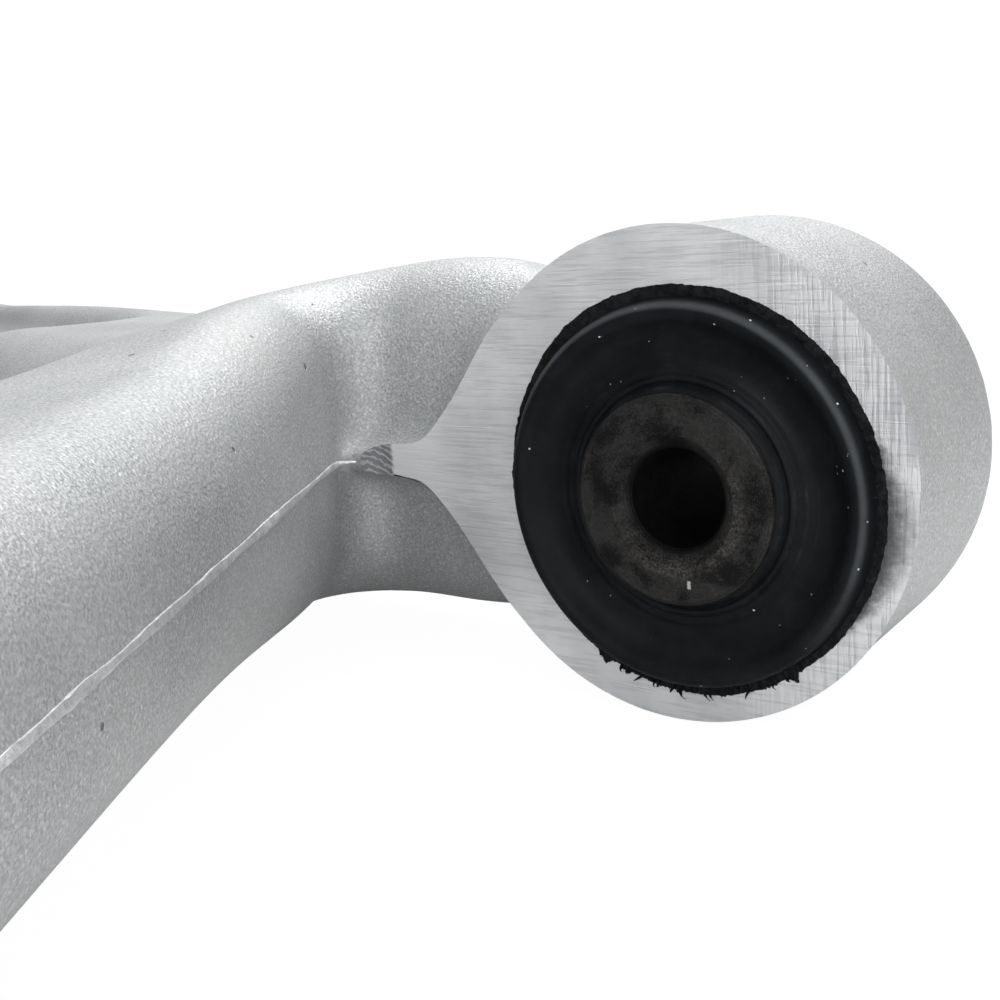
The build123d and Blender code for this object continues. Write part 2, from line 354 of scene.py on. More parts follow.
# faces and bores cut into the forging, so their walls take the milled finish
def machineForging(made, skin, milled):
    def cut(outline, axis, centre):
        cutWith(made, turnedMesh("tool", outline, axis, centre, [skin, milled], 256, 1))

    outer, corner, face, far = barrel["tool"], barrel["toolCorner"], barrel["face"], barrel["far"]
    bend = [(outer - corner + corner * math.sin(a), face - corner + corner * math.cos(a))
            for a in [math.radians(15 * n) for n in range(7)]]
    front = face - barrel["toolThick"]
    cut([(0.0, front), (0.0, face)] + bend + [(outer, front)], "Y", (0, 0, 0))
    cut([(0.0, far + 30), (0.0, far), (36, far), (36, far + 30)], "Y", (0, 0, 0))
    cut([(0.0, 60), (0.0, -60), (barrel["bore"], -60), (barrel["bore"], 60)], "Y", (0, 0, 0))
    for boss, low, high, wide in (
            (rearBoss, -60, 60, rearBoss["bore"]), (rearBoss, rearBoss["high"], 60, rearBoss["spot"]),
            (rearBoss, -60, rearBoss["low"], rearBoss["spot"]), (ballBoss, -60, 60, ballBoss["bore"]),
            (ballBoss, ballBoss["high"], 60, ballBoss["topSpot"]),
            (ballBoss, -60, ballBoss["low"], ballBoss["bottomSpot"])):
        cut([(0.0, high), (0.0, low), (wide, low), (wide, high)], "Z", (*boss["centre"], 0))


def makeForging(skin, milled):
    field, low = forgingField()
    grid = openvdb.FloatGrid(5.0)
    grid.copyFromArray(field)
    points, quads = grid.convertToQuads(0.0)
    points = (np.array(points) * arm["voxel"] + low) * mm
    made = meshFrom("armForging", points.tolist(), np.array(quads)[:, ::-1].tolist(), skin)
    made.data.materials.append(milled.mat)
    smooth = made.modifiers.new("smooth", "SMOOTH")
    smooth.factor = 0.5
    smooth.iterations = 4
    applyAll(made)
    machineForging(made, skin, milled)
    smoothBy(made, 38)
    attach(made, "arm")
    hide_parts("arm_forging")
    print("forging", len(made.data.polygons), "faces")
    return made


# a raised bright line where the two forging dies met, its section given as side and rise
partingLine = {
    "half": 0.62, "proud": 0.26, "deep": 0.5, "spacing": 1.4, "uneven": 0.28, "rough": 0.3,
    "section": [(-1.0, -1), (-0.75, 0.55), (0.0, 1), (0.75, 0.6), (1.0, -1)],
}


# the longest outline of the forging at the height of the parting plane
def partingLoop(made):
    cut = bmesh.new()
    cut.from_mesh(made.data)
    height = arm["partingZ"] * mm + 0.00001
    found = bmesh.ops.bisect_plane(cut, geom=cut.verts[:] + cut.edges[:] + cut.faces[:], dist=1e-7,
                                   plane_co=(0, 0, height), plane_no=(0, 0, 1))["geom_cut"]
    edges = [item for item in found if isinstance(item, bmesh.types.BMEdge)]
    joined = {}
    for edge in edges:
        a, b = edge.verts
        joined.setdefault(a, []).append(b)
        joined.setdefault(b, []).append(a)
    loops = []
    while joined:
        here = next(iter(joined))
        loop = []
        while here is not None:
            loop.append(np.array(here.co.xy) / mm)
            neighbours = joined.pop(here)
            here = next((n for n in neighbours if n in joined), None)
        loops.append(np.array(loop))
    cut.free()
    return max(loops, key=len)


# true where no tool has cut the edge of the forging
def asForged(spot):
    x, y = spot
    rear = math.dist(spot, rearBoss["centre"]) < rearBoss["bore"] + 1
    ball = math.dist(spot, ballBoss["centre"]) < ballBoss["bore"] + 1
    bore = abs(x) < barrel["bore"] + 0.6 and abs(y) < 24
    face = -31 < y < barrel["face"] + 0.1 and -48.4 < x < 36
    back = y > barrel["far"] - 0.4 and -36 < x < 26
    return not (rear or ball or bore or face or back)


def makePartingLine(forging, material):
    loop = partingLoop(forging)
    for n in range(6):
        loop = (np.roll(loop, 1, axis=0) + 2 * loop + np.roll(loop, -1, axis=0)) / 4
    first = next(n for n, spot in enumerate(loop) if not asForged(spot))
    runs, run = [], []
    for spot in np.roll(loop, -first, axis=0):
        if asForged(spot):
            if not run or math.dist(run[-1], spot) > partingLine["spacing"]:
                run.append(spot)
        elif run:
            runs.append(np.array(run))
            run = []
    if run:
        runs.append(np.array(run))
    area = 0.5 * sum(a[0] * b[1] - a[1] * b[0] for a, b in zip(loop, np.roll(loop, -1, axis=0)))
    chance = np.random.default_rng(11)
    section = partingLine["section"]
    per = len(section)
    points, faces = [], []
    for run in [r for r in runs if len(r) > 6]:
        count = len(run)
        along = np.gradient(run, axis=0)
        out = np.stack([along[:, 1], -along[:, 0]], axis=1) * np.sign(area)
        out /= np.linalg.norm(out, axis=1)[:, None]
        wander = np.convolve(chance.normal(size=count + 4), np.ones(5) / 5, "valid")
        taper = np.minimum(1, 0.25 + np.minimum(np.arange(count), np.arange(count)[::-1]) / 5)
        wide = partingLine["half"] * (1 + partingLine["uneven"] * wander) * taper
        lift = partingLine["proud"] * (1 + partingLine["rough"] * chance.normal(size=count))
        start = len(points)
        for spot, way, w, high in zip(run, out, wide, lift):
            for side, rise in section:
                reach = high * rise if rise > 0 else -partingLine["deep"]
                x, y = spot + way * reach
                points.append((x * mm, y * mm, (arm["partingZ"] + side * w) * mm))
        for n in range(count - 1):
            for k in range(per):
                a, b = start + per * n + k, start + per * n + (k + 1) % per
                faces.append((a, b, b + per, a + per))
        faces.append(tuple(range(start, start + per)))
        faces.append(tuple(range(start + per * count - 1, start + per * (count - 1) - 1, -1)))
    made = meshFrom("partingLine", points, faces, material)
    smoothBy(made, 60)
    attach(made, "arm")
    print("parting line", len(runs), "runs")


# a closed curve through the corners
def softOutline(corners, per):
    points = []
    spots = np.array(corners, float)
    for n in range(len(spots)):
        a, b, c, d = (spots[(n + k) % len(spots)] for k in (-1, 0, 1, 2))
        for t in np.arange(per) / per:
            points.append(tuple(0.5 * (2 * b + (c - a) * t + (2 * a - 5 * b + 4 * c - d) * t * t
                                       + (3 * b - a - 3 * c + d) * t ** 3)))
    return points


# distance of every point from an axis, where None leaves an axis out; the result is not kept
def radialWeights(made, middle):
    spots = np.array([vertex.co for vertex in made.data.vertices]) / mm
    kept = [axis for axis in range(3) if middle[axis] is not None]
    away = np.sqrt(sum((spots[:, axis] - middle[axis]) ** 2 for axis in kept))


# front bush rubber: a lip round a dish in front, a cone behind
frontRubber = {
    "front": [
        (22.9, 21.5), (24.2, 21.5), (24.2, 22.5), (23.75, 23.1), (23.5, 23.8), (23.38, 24.6), (23.2, 25.25),
        (22.9, 25.7), (22.4, 26.0), (21.9, 26.05), (21.4, 25.8), (20.8, 25.2), (20.0, 24.3), (19.0, 23.7),
        (17.9, 23.42), (17.0, 23.36), (16.4, 23.42), (16.0, 23.55), (15.75, 23.7), (15.4, 23.8), (15.05, 23.85),
        (14.8, 23.9), (14.55, 24.2), (14.25, 24.62), (13.95, 24.6), (13.75, 24.45), (13.5, 24.8), (13.2, 25.25),
        (12.9, 25.5), (12.72, 25.55)],
    "back": [
        (12.72, 25.55), (13.6, 25.5), (14.2, 25.3), (14.5, 24.4), (15.1, 22.6), (16.2, 20.4), (17.5, 18.2),
        (19.0, 16.2), (20.5, 15.0), (21.6, 14.4), (22.4, 13.9), (22.8, 13.4), (22.9, 13.0)],
    "count": 320, "uneven": 0.028, "unevenFrom": 22,
}


def makeFrontRubber(material):
    outline = [(r, -h) for r, h in frontRubber["front"]] + frontRubber["back"]
    made = turnedMesh("frontBushRubber", outline, "Y", (0, 0, 0), [material], frontRubber["count"])
    for vertex in made.data.vertices:
        x, y, z = vertex.co / mm
        turn = math.atan2(z, x)
        ripple = 0.7 * math.sin(7 * turn + 0.3 * math.hypot(x, z)) + 0.5 * math.sin(17 * turn)
        if abs(y) > frontRubber["unevenFrom"]:
            vertex.co.y += (math.sin(3 * turn + 0.4) + ripple) * frontRubber["uneven"] * mm
    smoothBy(made, 60)
    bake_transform(made)
    radialWeights(made, (0, None, 0))
    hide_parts("front_bush_rubber")


# torn rubber flash squeezed out between the bush and the milled face, its reach given by the turn in degrees
flash = {
    "turns": [-180, -150, -130, -114, -104, -95, -84, -74, -62, -45, -20, 0, 20, 45, 70, 90, 110, 130, 150,
              170, 180],
    "reach": [24.5, 24.45, 24.45, 24.6, 24.85, 24.8, 24.95, 24.9, 24.7, 24.5, 24.7, 24.75, 24.7, 24.8, 24.9,
              24.95, 25.2, 25.25, 24.8, 24.5, 24.5],
    "spikeFrom": -118, "spikeTo": -52, "count": 1500,
}


def makeFlash(material):
    chance = np.random.default_rng(4)
    turns = -180 + 360 * np.arange(flash["count"]) / flash["count"]
    reach = np.interp(turns, flash["turns"], flash["reach"])
    count = flash["count"]
    rough = np.tile(chance.normal(size=count), 3)
    coarse = 5 * np.convolve(rough, np.ones(25) / 25, "same")[count:2 * count]
    fine = 3 * np.convolve(rough, np.ones(7) / 7, "same")[2 * count - 1:count - 1:-1]
    first, last = flash["spikeFrom"], flash["spikeTo"]
    low = np.interp(turns, [first - 4, first, last, last + 4], [0, 1, 1, 0])
    spikes = 0.34 * np.maximum(coarse + 0.5 * fine - 0.5, 0) ** 1.2 - 0.12
    reach = reach + 0.045 * coarse + 0.035 * fine + low * spikes
    lift = 0.1 + 0.05 * np.abs(coarse) + low * 0.16 * np.abs(fine)
    face = barrel["face"]
    points, faces = [], []
    for turn, rim, high in zip(np.radians(turns), reach, lift):
        section = [(23.3, face + 0.9), (23.3, face - 0.6 * high), (23.8, face + 0.05 - high),
                   (24.3, face - high), (rim - 0.08, face - 0.8 * high), (rim, face + 0.03),
                   (24.3, face + 0.4)]
        for r, y in section:
            points.append((r * math.cos(turn) * mm, y * mm, r * math.sin(turn) * mm))
    per = len(section)
    for n in range(count):
        for k in range(per):
            a, b = n * per + k, n * per + (k + 1) % per
            step = per * ((n + 1) % count) - per * n
            faces.append((a, b, b + step, a + step))
    made = meshFrom("rubberFlash", points, faces, material)
    smoothBy(made, 50)
    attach(made, "arm")


# curled slivers of rubber trimmed from the lip and still clinging below it
shavings = {"turns": [-114, -107, -101, -96, -92, -87, -83, -77, -70, -64, -57], "steps": 6, "seed": 9}


def makeShavings(material):
    chance = np.random.default_rng(shavings["seed"])
    points, faces = [], []
    steps = shavings["steps"]
    for turn in shavings["turns"]:
        angle = math.radians(turn + chance.uniform(-2, 2))
        length, wide = chance.uniform(0.5, 1.3), chance.uniform(0.16, 0.3)
        lean, curl = chance.uniform(-0.9, 0.9), chance.uniform(0.3, 1.0)
        start = len(points)
        for n in range(steps + 1):
            t = n / steps
            away = 24.3 + length * t
            turned = angle + lean * t * length / 25
            depth = barrel["face"] - 0.25 - curl * math.sin(2.6 * t) * 0.8
            middle = np.array([away * math.cos(turned), depth, away * math.sin(turned)])
            side = np.array([-math.sin(turned), 0.3 * math.sin(5 * t), math.cos(turned)]) * wide * (1.05 - t)
            rise = np.array([0, 0.09, 0])
            for corner in (middle - side, middle - rise, middle + side, middle + rise):
                points.append(tuple(corner * mm))
        for n in range(steps):
            for k in range(4):
                a, b = start + 4 * n + k, start + 4 * n + (k + 1) % 4
                faces.append((a, b, b + 4, a + 4))
        faces.append(tuple(range(start, start + 4)))
        faces.append(tuple(range(start + 4 * steps + 3, start + 4 * steps - 1, -1)))
    made = meshFrom("rubberShavings", points, faces, material)
    smoothBy(made, 50)
    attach(made, "arm")


# rear bush rubber with a curved void fore and aft
rearRubber = {
    "top": [
        (15.02, 21.0), (16.0, 20.9), (17.4, 20.75), (18.2, 20.4), (20.0, 19.6), (22.0, 18.8), (24.0, 18.25),
        (26.0, 18.0), (27.6, 17.95), (28.6, 18.2), (29.6, 18.3), (30.6, 18.0), (31.3, 17.4), (31.45, 16.6)],
    "levels": [15.5, 10, 5, 0, -5, -10, -15.5], "inner": 15.02, "outer": 31.48,
    "voidInner": 19.5, "voidOuter": 27.0, "voidHalf": 37.0, "voidCorner": 2.5,
}


def kidneyOutline():
    inner, outer, bend = rearRubber["voidInner"], rearRubber["voidOuter"], rearRubber["voidCorner"]
    near, far = inner + bend, outer - bend
    nearTurn = rearRubber["voidHalf"] - math.degrees(math.asin(bend / near))
    farTurn = rearRubber["voidHalf"] - math.degrees(math.asin(bend / far))
    spots = []

    def corner(radius, turn, first, last):
        place = math.radians(turn)
        for k in range(7):
            aim = math.radians(first + (last - first) * k / 6)
            spots.append((radius * math.cos(place) + bend * math.cos(aim),
                          radius * math.sin(place) + bend * math.sin(aim)))

    for k in range(1, 24):
        turn = math.radians(-farTurn + 2 * farTurn * k / 24)
        spots.append((outer * math.cos(turn), outer * math.sin(turn)))
    corner(far, farTurn, farTurn, farTurn + 90)
    corner(near, nearTurn, nearTurn + 90, nearTurn + 180)
    for k in range(1, 20):
        turn = math.radians(nearTurn - 2 * nearTurn * k / 20)
        spots.append((inner * math.cos(turn), inner * math.sin(turn)))
    corner(near, -nearTurn, -nearTurn + 180, -nearTurn + 270)
    corner(far, -farTurn, -farTurn - 90, -farTurn)
    return spots


def makeRearRubber(material):
    top = rearRubber["top"]
    levels = rearRubber["levels"]
    outline = top + [(rearRubber["outer"], h) for h in levels]
    outline += [(r, -h) for r, h in top[::-1]] + [(rearRubber["inner"], h) for h in levels[::-1]]
    centre = (*rearBoss["centre"], arm["partingZ"])
    made = turnedMesh("rearBushRubber", outline, "Z", centre, [material], 240)
    for way in (90, 270):
        spots = kidneyOutline()
        c, s = math.cos(math.radians(way)), math.sin(math.radians(way))
        points = [((c * x - s * y + centre[0]) * mm, (s * x + c * y + centre[1]) * mm, (centre[2] + h) * mm)
                  for h in (-26, -15, -8, 0, 8, 15, 26) for x, y in spots]
        count = len(spots)
        faces = [(n + k * count, (n + 1) % count + k * count, (n + 1) % count + (k + 1) * count,
                  n + (k + 1) * count) for n in range(count) for k in range(6)]
        faces += [tuple(range(count))[::-1], tuple(range(6 * count, 7 * count))]
        cutWith(made, meshFrom("void", points, faces, material))
    smoothBy(made, 45)
    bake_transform(made)
    radialWeights(made, (centre[0], centre[1], None))
    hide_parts("rear_bush_rubber")


# ball joint, every height counted from the centre of the ball
joint = {"centre": (-338.0, 78.0, 3.0)}

# the boot in two halves that meet at its widest, its heights counted from the clip groove of the housing
boot = {
    "clip": 12.0, "sides": 128, "middle": 10.2, "lowHeld": 4.4, "highHeld": 16.8,
    "lower": [
        (19.57, 3.62), (20.55, 3.6), (21.45, 3.7), (21.65, 4.2), (21.05, 4.9), (21.55, 5.6),
        (22.95, 6.4), (24.15, 7.7), (24.65, 9.0), (24.75, 10.4), (23.75, 10.3), (22.75, 10.0),
        (22.65, 9.3), (22.25, 8.6), (21.45, 7.8), (21.15, 7.0), (20.95, 6.2), (19.6, 5.85)],
    "upper": [
        (24.75, 10.4), (24.45, 11.6), (23.55, 12.5), (21.95, 13.4), (19.55, 14.3), (17.55, 14.95),
        (15.35, 15.6), (13.95, 16.1), (12.95, 16.9), (12.7, 17.8), (12.75, 18.8), (13.15, 19.5),
        (13.25, 20.3), (12.95, 20.75), (11.07, 20.78), (11.07, 18.6), (11.07, 16.5), (12.05, 14.95),
        (14.45, 14.0), (16.95, 13.2), (19.15, 12.45), (21.35, 11.6), (22.25, 10.9), (22.75, 10.0)],
}


def makeBoot(material):
    x, y, z = joint["centre"]
    first, middle, last = ((x * mm, y * mm, (z + boot["clip"] + boot[k]) * mm)
                           for k in ("lowHeld", "middle", "highHeld"))
    for name, half, bodies, ends in (("bootLower", "lower", ("arm", "swing_pad"), (first, middle)),
                                     ("bootUpper", "upper", ("swing_pad", "seal_collar"), (middle, last))):
        outline = [(r, boot["clip"] + h) for r, h in boot[half]]
        made = turnedMesh(name, softOutline(outline, 3), "Z", joint["centre"], [material], boot["sides"])
        smoothBy(made, 50)
        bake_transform(made)
        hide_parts("dust_boot")


# ball stud with its thread cut as a helix
stud = {
    "ball": 13.48, "neck": 7.5, "sides": 96,
    "shank": [
        (7.5, 16), (7.5, 20), (7.5, 23.6), (7.7, 24.3), (8.9, 26.6), (9.0, 27.1), (9.0, 34.4), (8.95, 34.7),
        (8.4, 43.5), (7.85, 52.9), (7.75, 54.4), (7.6, 54.7), (5.3, 55.4), (5.2, 55.7), (5.2, 56.6),
        (5.35, 56.9)],
    "thread": 6.0, "pitch": 1.5, "cutDepth": 0.82, "from": 57.6, "to": 74.8, "step": 0.125,
    "tip": [(5.0, 75.6), (4.7, 75.95), (4.2, 76.0), (1.6, 76.0), (1.3, 75.8), (0.05, 74.9)],
}


# radius of the thread at a height and a share of the turn
def threadRadius(h, share):
    phase = (h / stud["pitch"] - share) % 1
    ends = min(1, (h - stud["from"]) / 0.8 + 0.1, (stud["to"] - h) / 0.8 + 0.1)
    groove = max(0, 0.88 - abs(2 * phase - 1)) / 0.88
    return stud["thread"] - stud["cutDepth"] * groove - (1 - ends) * 0.5


def makeStud(material):
    count = stud["sides"]
    lean = [math.radians(a) for a in np.linspace(-90, math.degrees(math.acos(stud["neck"] / stud["ball"])), 40)]
    rows = [(stud["ball"] * math.cos(a), stud["ball"] * math.sin(a)) for a in lean[1:]]
    rings = [[r] * count for r, h in rows + stud["shank"]]
    heights = [h for r, h in rows + stud["shank"]]
    for h in np.arange(stud["from"], stud["to"] + 0.01, stud["step"]):
        rings.append([threadRadius(h, k / count) for k in range(count)])
        heights.append(h)
    rings += [[r] * count for r, h in stud["tip"]]
    heights += [h for r, h in stud["tip"]]
    x, y, z = joint["centre"]
    points, faces = [], []
    for ring, h in zip(rings, heights):
        for k, radius in enumerate(ring):
            turn = 2 * math.pi * k / count
            spot = (x + radius * math.cos(turn), y + radius * math.sin(turn), z + h)
            points.append([c * mm for c in spot])
    for n in range(len(rings) - 1):
        for k in range(count):
            a, b = n * count + k, n * count + (k + 1) % count
            faces.append((a, b, b + count, a + count))
    faces.append(tuple(range(count))[::-1])
    faces.append(tuple(range((len(rings) - 1) * count, len(rings) * count)))
    made = meshFrom("ballStud", points, faces, material)
    smoothBy(made, 40)
    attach(made, "stud")
    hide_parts("ball_stud")


# grey blasted skin of the forging, with bright grains carrying painted glints, and small pits darkened with
# painted shade
def blastedAluminium():
    m = Material("blastedAluminium")
    grain = m.noise(0.00036, 3, 0.7)
    pebbles = m.cells(0.0004)
    patches = m.noise(0.028, 4, 0.55).step(0.3, 0.7)
    # painted glints: random grains are lightened in the base colour as painted highlights
    random = m.axis(0, m.cells(0.0003, output="Color"))
    glint = random.step(0.8, 1.0)
    # painted shade: the small pits are darkened in the base colour as well as dented in the bump
    pit = 1 - m.cells(0.0085).step(0.035, 0.06)
    shade = m.mix(grain.step(0.32, 0.68), (0.29, 0.3, 0.308), (0.5, 0.506, 0.508))
    shade = m.mix(patches * 0.3, shade, (0.52, 0.515, 0.505))
    shade = m.mix(glint * 0.3, shade, (0.8, 0.81, 0.82))
    shade = m.mix(pit * 0.8, shade, (0.07, 0.072, 0.075))
    height = grain * 0.7 + pebbles * 0.45 - pit * 1.5
    m.set(Base_Color=shade, Metallic=0.55, Roughness=0.5 + 0.14 * patches - 0.1 * glint,
          Normal=m.bump(height, 0.00016, 0.9))
    return m


# cut faces: fine level and upright tool marks, chatter at the inner corner, painted light on the tongue at the
# left end, a black smudge beside the bush
def milledAluminium():
    m = Material("milledAluminium")
    x, y, z = (m.axis(n) * 1000 for n in range(3))

    def strokes(scale, low, high):
        return m.node("ShaderNodeTexNoise", {}, {
            "Vector": m.vector("MULTIPLY", m.place, scale), "Scale": 1.0, "Detail": 3, "Roughness": 0.6,
        }).step(low, high)

    level = strokes((130, 200, 2700), 0.47, 0.62)
    upright = strokes((2300, 200, 120), 0.45, 0.6) * x.step(0, 22)
    scratch = strokes((45, 300, 3400), 0.63, 0.72)
    cloud = m.noise(0.009, 4, 0.6)
    reach = m.vector("LENGTH", m.vector("MULTIPLY", m.place, (1000, 0, 1000)), output=1)
    onFace = (1 - y.step(-23.35, -23.2)) * y.step(-32, -30)
    spread = 0.9 + 5.0 * (1 - abs(z + 3).step(1, 15))
    ragged = (reach - 25.4 + m.noise(0.0018, 5, 0.75) * 3.2 + upright * 0.3) / spread
    smudge = (1 - ragged.step(0.15, 0.95)) * (x + z * 0.3).step(7, 17) * onFace
    chip = (m.noise(0.0022, 4, 0.7) * reach.step(26.5, 30) * (x * 0.4 - z).step(8, 22)).step(0.42, 0.6) * onFace
    chatter = (1 - x.step(-45.1, -44.3)) * onFace
    marks = ((x * 0.9 + z * 1.35) * 4.6 + m.noise(0.0016, 4, 0.7) * 13).sin().step(-0.2, 0.9)
    shade = m.mix(cloud.step(0.3, 0.7), (0.66, 0.67, 0.68), (0.79, 0.795, 0.8))
    shade = m.mix(level * 0.24 + upright * 0.5 * (1.3 - cloud), shade, (0.33, 0.34, 0.36))
    shade = m.mix(scratch * 0.7, shade, (0.97, 0.97, 0.97))
    # painted light: the tongue at the left end of the cut face is lightened toward white
    shade = m.mix((1 - x.step(-42, -31)) * onFace * 0.75, shade, (1, 1, 1))
    shade = m.mix(chatter, shade, m.mix(marks, (0.2, 0.205, 0.215), (0.4, 0.405, 0.41)))
    shade = m.mix(chip * 0.8, shade, (0.98, 0.98, 0.98))
    shade = m.mix(smudge * 0.93, shade, (0.012, 0.013, 0.015))
    height = scratch * 0.5 - level * 0.4 - upright * 0.6 + chatter * marks * 1.8 + chip * cloud * 2
    rough = 0.36 + 0.14 * cloud - 0.1 * scratch + 0.2 * chatter
    m.set(Base_Color=shade, Metallic=0.62 - 0.5 * smudge, Roughness=rough, Normal=m.bump(height, 0.00006, 0.8))
    return m


def partingAluminium():
    m = Material("partingAluminium")
    nibble = m.noise(0.0011, 4, 0.7)
    stretch = m.noise(0.016, 2, 0.5)
    shade = m.mix(nibble.step(0.3, 0.6), (0.42, 0.43, 0.44), (0.78, 0.78, 0.78))
    shade = m.mix(stretch.step(0.35, 0.6) * 0.6, shade, (0.4, 0.405, 0.41))
    m.set(Base_Color=shade, Metallic=0.45, Roughness=0.3 + 0.25 * nibble, Normal=m.bump(nibble, 0.0003, 0.9))
    return m


# near-black rubber; only a dusty one has flecks, grey rings at its hub and a painted highlight on the crest of
# its lip
def mouldedRubber(name, middle, dust_and_highlight):
    m = Material(name)
    flat = m.vector("MULTIPLY", m.vector("SUBTRACT", m.place, middle), (1000, 0, 1000))
    away = m.vector("LENGTH", flat, output=1)
    x = m.axis(0) * 1000
    cloud = m.noise(0.006, 5, 0.65)
    grain = m.noise(0.0004, 2, 0.6)
    flecks = m.cells(0.0021)
    chosen = m.axis(1, m.cells(0.0021, output="Color"))
    fleck = (1 - flecks.step(0.045, 0.085)) * (chosen + x * 0.006).step(0.74, 0.78) * dust_and_highlight
    rare = m.axis(2, m.cells(0.0008, output="Color")).step(0.93, 0.95)
    tiny = (1 - m.cells(0.0008).step(0.07, 0.12)) * rare * dust_and_highlight
    rings = ((away + cloud * 0.6) * 5.2).sin().step(0.5, 1) * (1 - away.step(15.0, 18.5)) * dust_and_highlight
    shade = m.mix(cloud.step(0.35, 0.7), (0.0032, 0.0040, 0.0050), (0.0068, 0.0080, 0.0098))
    # painted highlight: the crest of the lip is lightened on its top and right side
    crest_highlight = (1 - abs(away - 22.75).step(0.05, 0.55)) * (m.axis(2) * 1000 + x * 0.5).step(-12, 14) * dust_and_highlight
    shade = m.mix(crest_highlight * (0.3 + cloud * 0.9), shade, (0.06, 0.065, 0.07))
    shade = m.mix(rings * cloud.step(0.4, 0.75) * 0.3, shade, (0.055, 0.052, 0.05))
    shade = m.mix(fleck, shade, (0.62, 0.63, 0.63))
    shade = m.mix(tiny * 0.7, shade, (0.4, 0.41, 0.41))
    m.set(Base_Color=shade, Roughness=0.4 + 0.2 * cloud + 0.25 * fleck, Specular_IOR_Level=0.11,
          Normal=m.bump(cloud * 0.5 + grain * 0.22 + fleck, 0.00025, 0.6))
    return m


def tornRubber():
    m = Material("tornRubber")
    tear = m.noise(0.0012, 4, 0.7)
    shade = m.mix(tear.step(0.35, 0.7), (0.003, 0.0032, 0.0035), (0.014, 0.015, 0.017))
    m.set(Base_Color=shade, Roughness=0.42 + 0.3 * tear, Specular_IOR_Level=0.1,
          Normal=m.bump(tear, 0.0004, 0.9))
    return m


# dark steel end of an inner sleeve, worn round its bore, with painted shade in the bore; the front one has a
# small painted tick
def sleeveSteel(name, middle, plane):
    m = Material(name)
    flat = m.vector("MULTIPLY", m.vector("SUBTRACT", m.place, middle), plane)
    away = m.vector("LENGTH", flat, output=1)
    x, z = m.axis(0, flat), m.axis(2 if plane[2] else 1, flat)
    speck = m.noise(0.00038, 4, 0.75)
    blotch = m.noise(0.0042, 4, 0.6)
    gritty = m.noise(0.00022, 4, 0.8)
    black = (blotch * 0.8 + gritty * 0.75).step(0.79, 0.83)
    lower = (x * 0.8 - z).step(-3, 7)
    worn = away.step(6.2, 7.6) * (1 - (away + blotch * 2).step(9.4, 11.2)) * lower * speck.step(0.4, 0.62)
    turning = (away * 21).sin()
    stroke = (1 - abs(x - 2.1).step(0.12, 0.3)) * (1 - abs(z + 9.9).step(0.35, 0.6))
    tick = (1 if plane[2] else 0) * stroke * (0.6 + speck * 0.5)
    rim = away.step(11.6, 12.5) * gritty.step(0.5, 0.6)
    shade = m.mix(speck.step(0.35, 0.7), (0.016, 0.0155, 0.015), (0.034, 0.0325, 0.0315))
    shade = m.mix(black * 0.92, shade, (0.002, 0.002, 0.002))
    shade = m.mix(worn * gritty.step(0.42, 0.58) * 0.8, shade, (0.13, 0.12, 0.112))
    shade = m.mix(rim * 0.5, shade, (0.075, 0.07, 0.068))
    # painted shade: the bore and the inner edge of the end are painted near black
    shade = m.mix(1 - away.step(6.2, 6.9), shade, (0.0015, 0.0015, 0.0015))
    shade = m.mix(tick, shade, (0.5, 0.5, 0.48))
    m.set(Base_Color=shade, Metallic=0.25 + 0.4 * worn, Roughness=0.48 + 0.22 * speck - 0.12 * worn,
          Specular_IOR_Level=0.16, Normal=m.bump(speck * 0.7 + turning * 0.12 - black * 0.5, 0.00016, 0.7))
    return m


# turned or drawn metal with fine marks across one axis, its pitch in millimetres
def turnedMetal(name, dark, light, metallic, rough, pitch, line=2):
    m = Material(name)
    along = m.axis(line) * (6283.2 / pitch)  # one turn per pitch
    marks = (along + m.noise(0.003) * 4).sin()
    cloud = m.noise(0.005, 5, 0.6)
    speck = m.noise(0.0005, 3, 0.7)
    stain = m.noise(0.0022, 4, 0.7).step(0.6, 0.72)
    shade = m.mix(cloud.step(0.3, 0.7), dark, light)
    shade = m.mix(marks.step(0.3, 1) * 0.25 + speck * 0.15, shade, dark)
    shade = m.mix(stain * 0.4, shade, tuple(0.5 * c for c in dark))
    m.set(Base_Color=shade, Metallic=metallic, Roughness=rough + 0.12 * cloud + 0.15 * stain,
          Normal=m.bump(marks * 0.4 + speck * 0.5, 0.00006, 0.7))
    return m


def mouldedPlastic(name, dark, light):
    m = Material(name)
    cloud = m.noise(0.006, 4, 0.6)
    grain = m.noise(0.0004, 3, 0.6)
    flow = (m.axis(2) * 4200 + cloud * 6).sin()
    shade = m.mix(cloud.step(0.3, 0.7), dark, light)
    shade = m.mix(grain * 0.2, shade, dark)
    m.set(Base_Color=shade, Roughness=0.34 + 0.16 * cloud, Normal=m.bump(grain + flow * 0.2, 0.00008, 0.6))
    return m


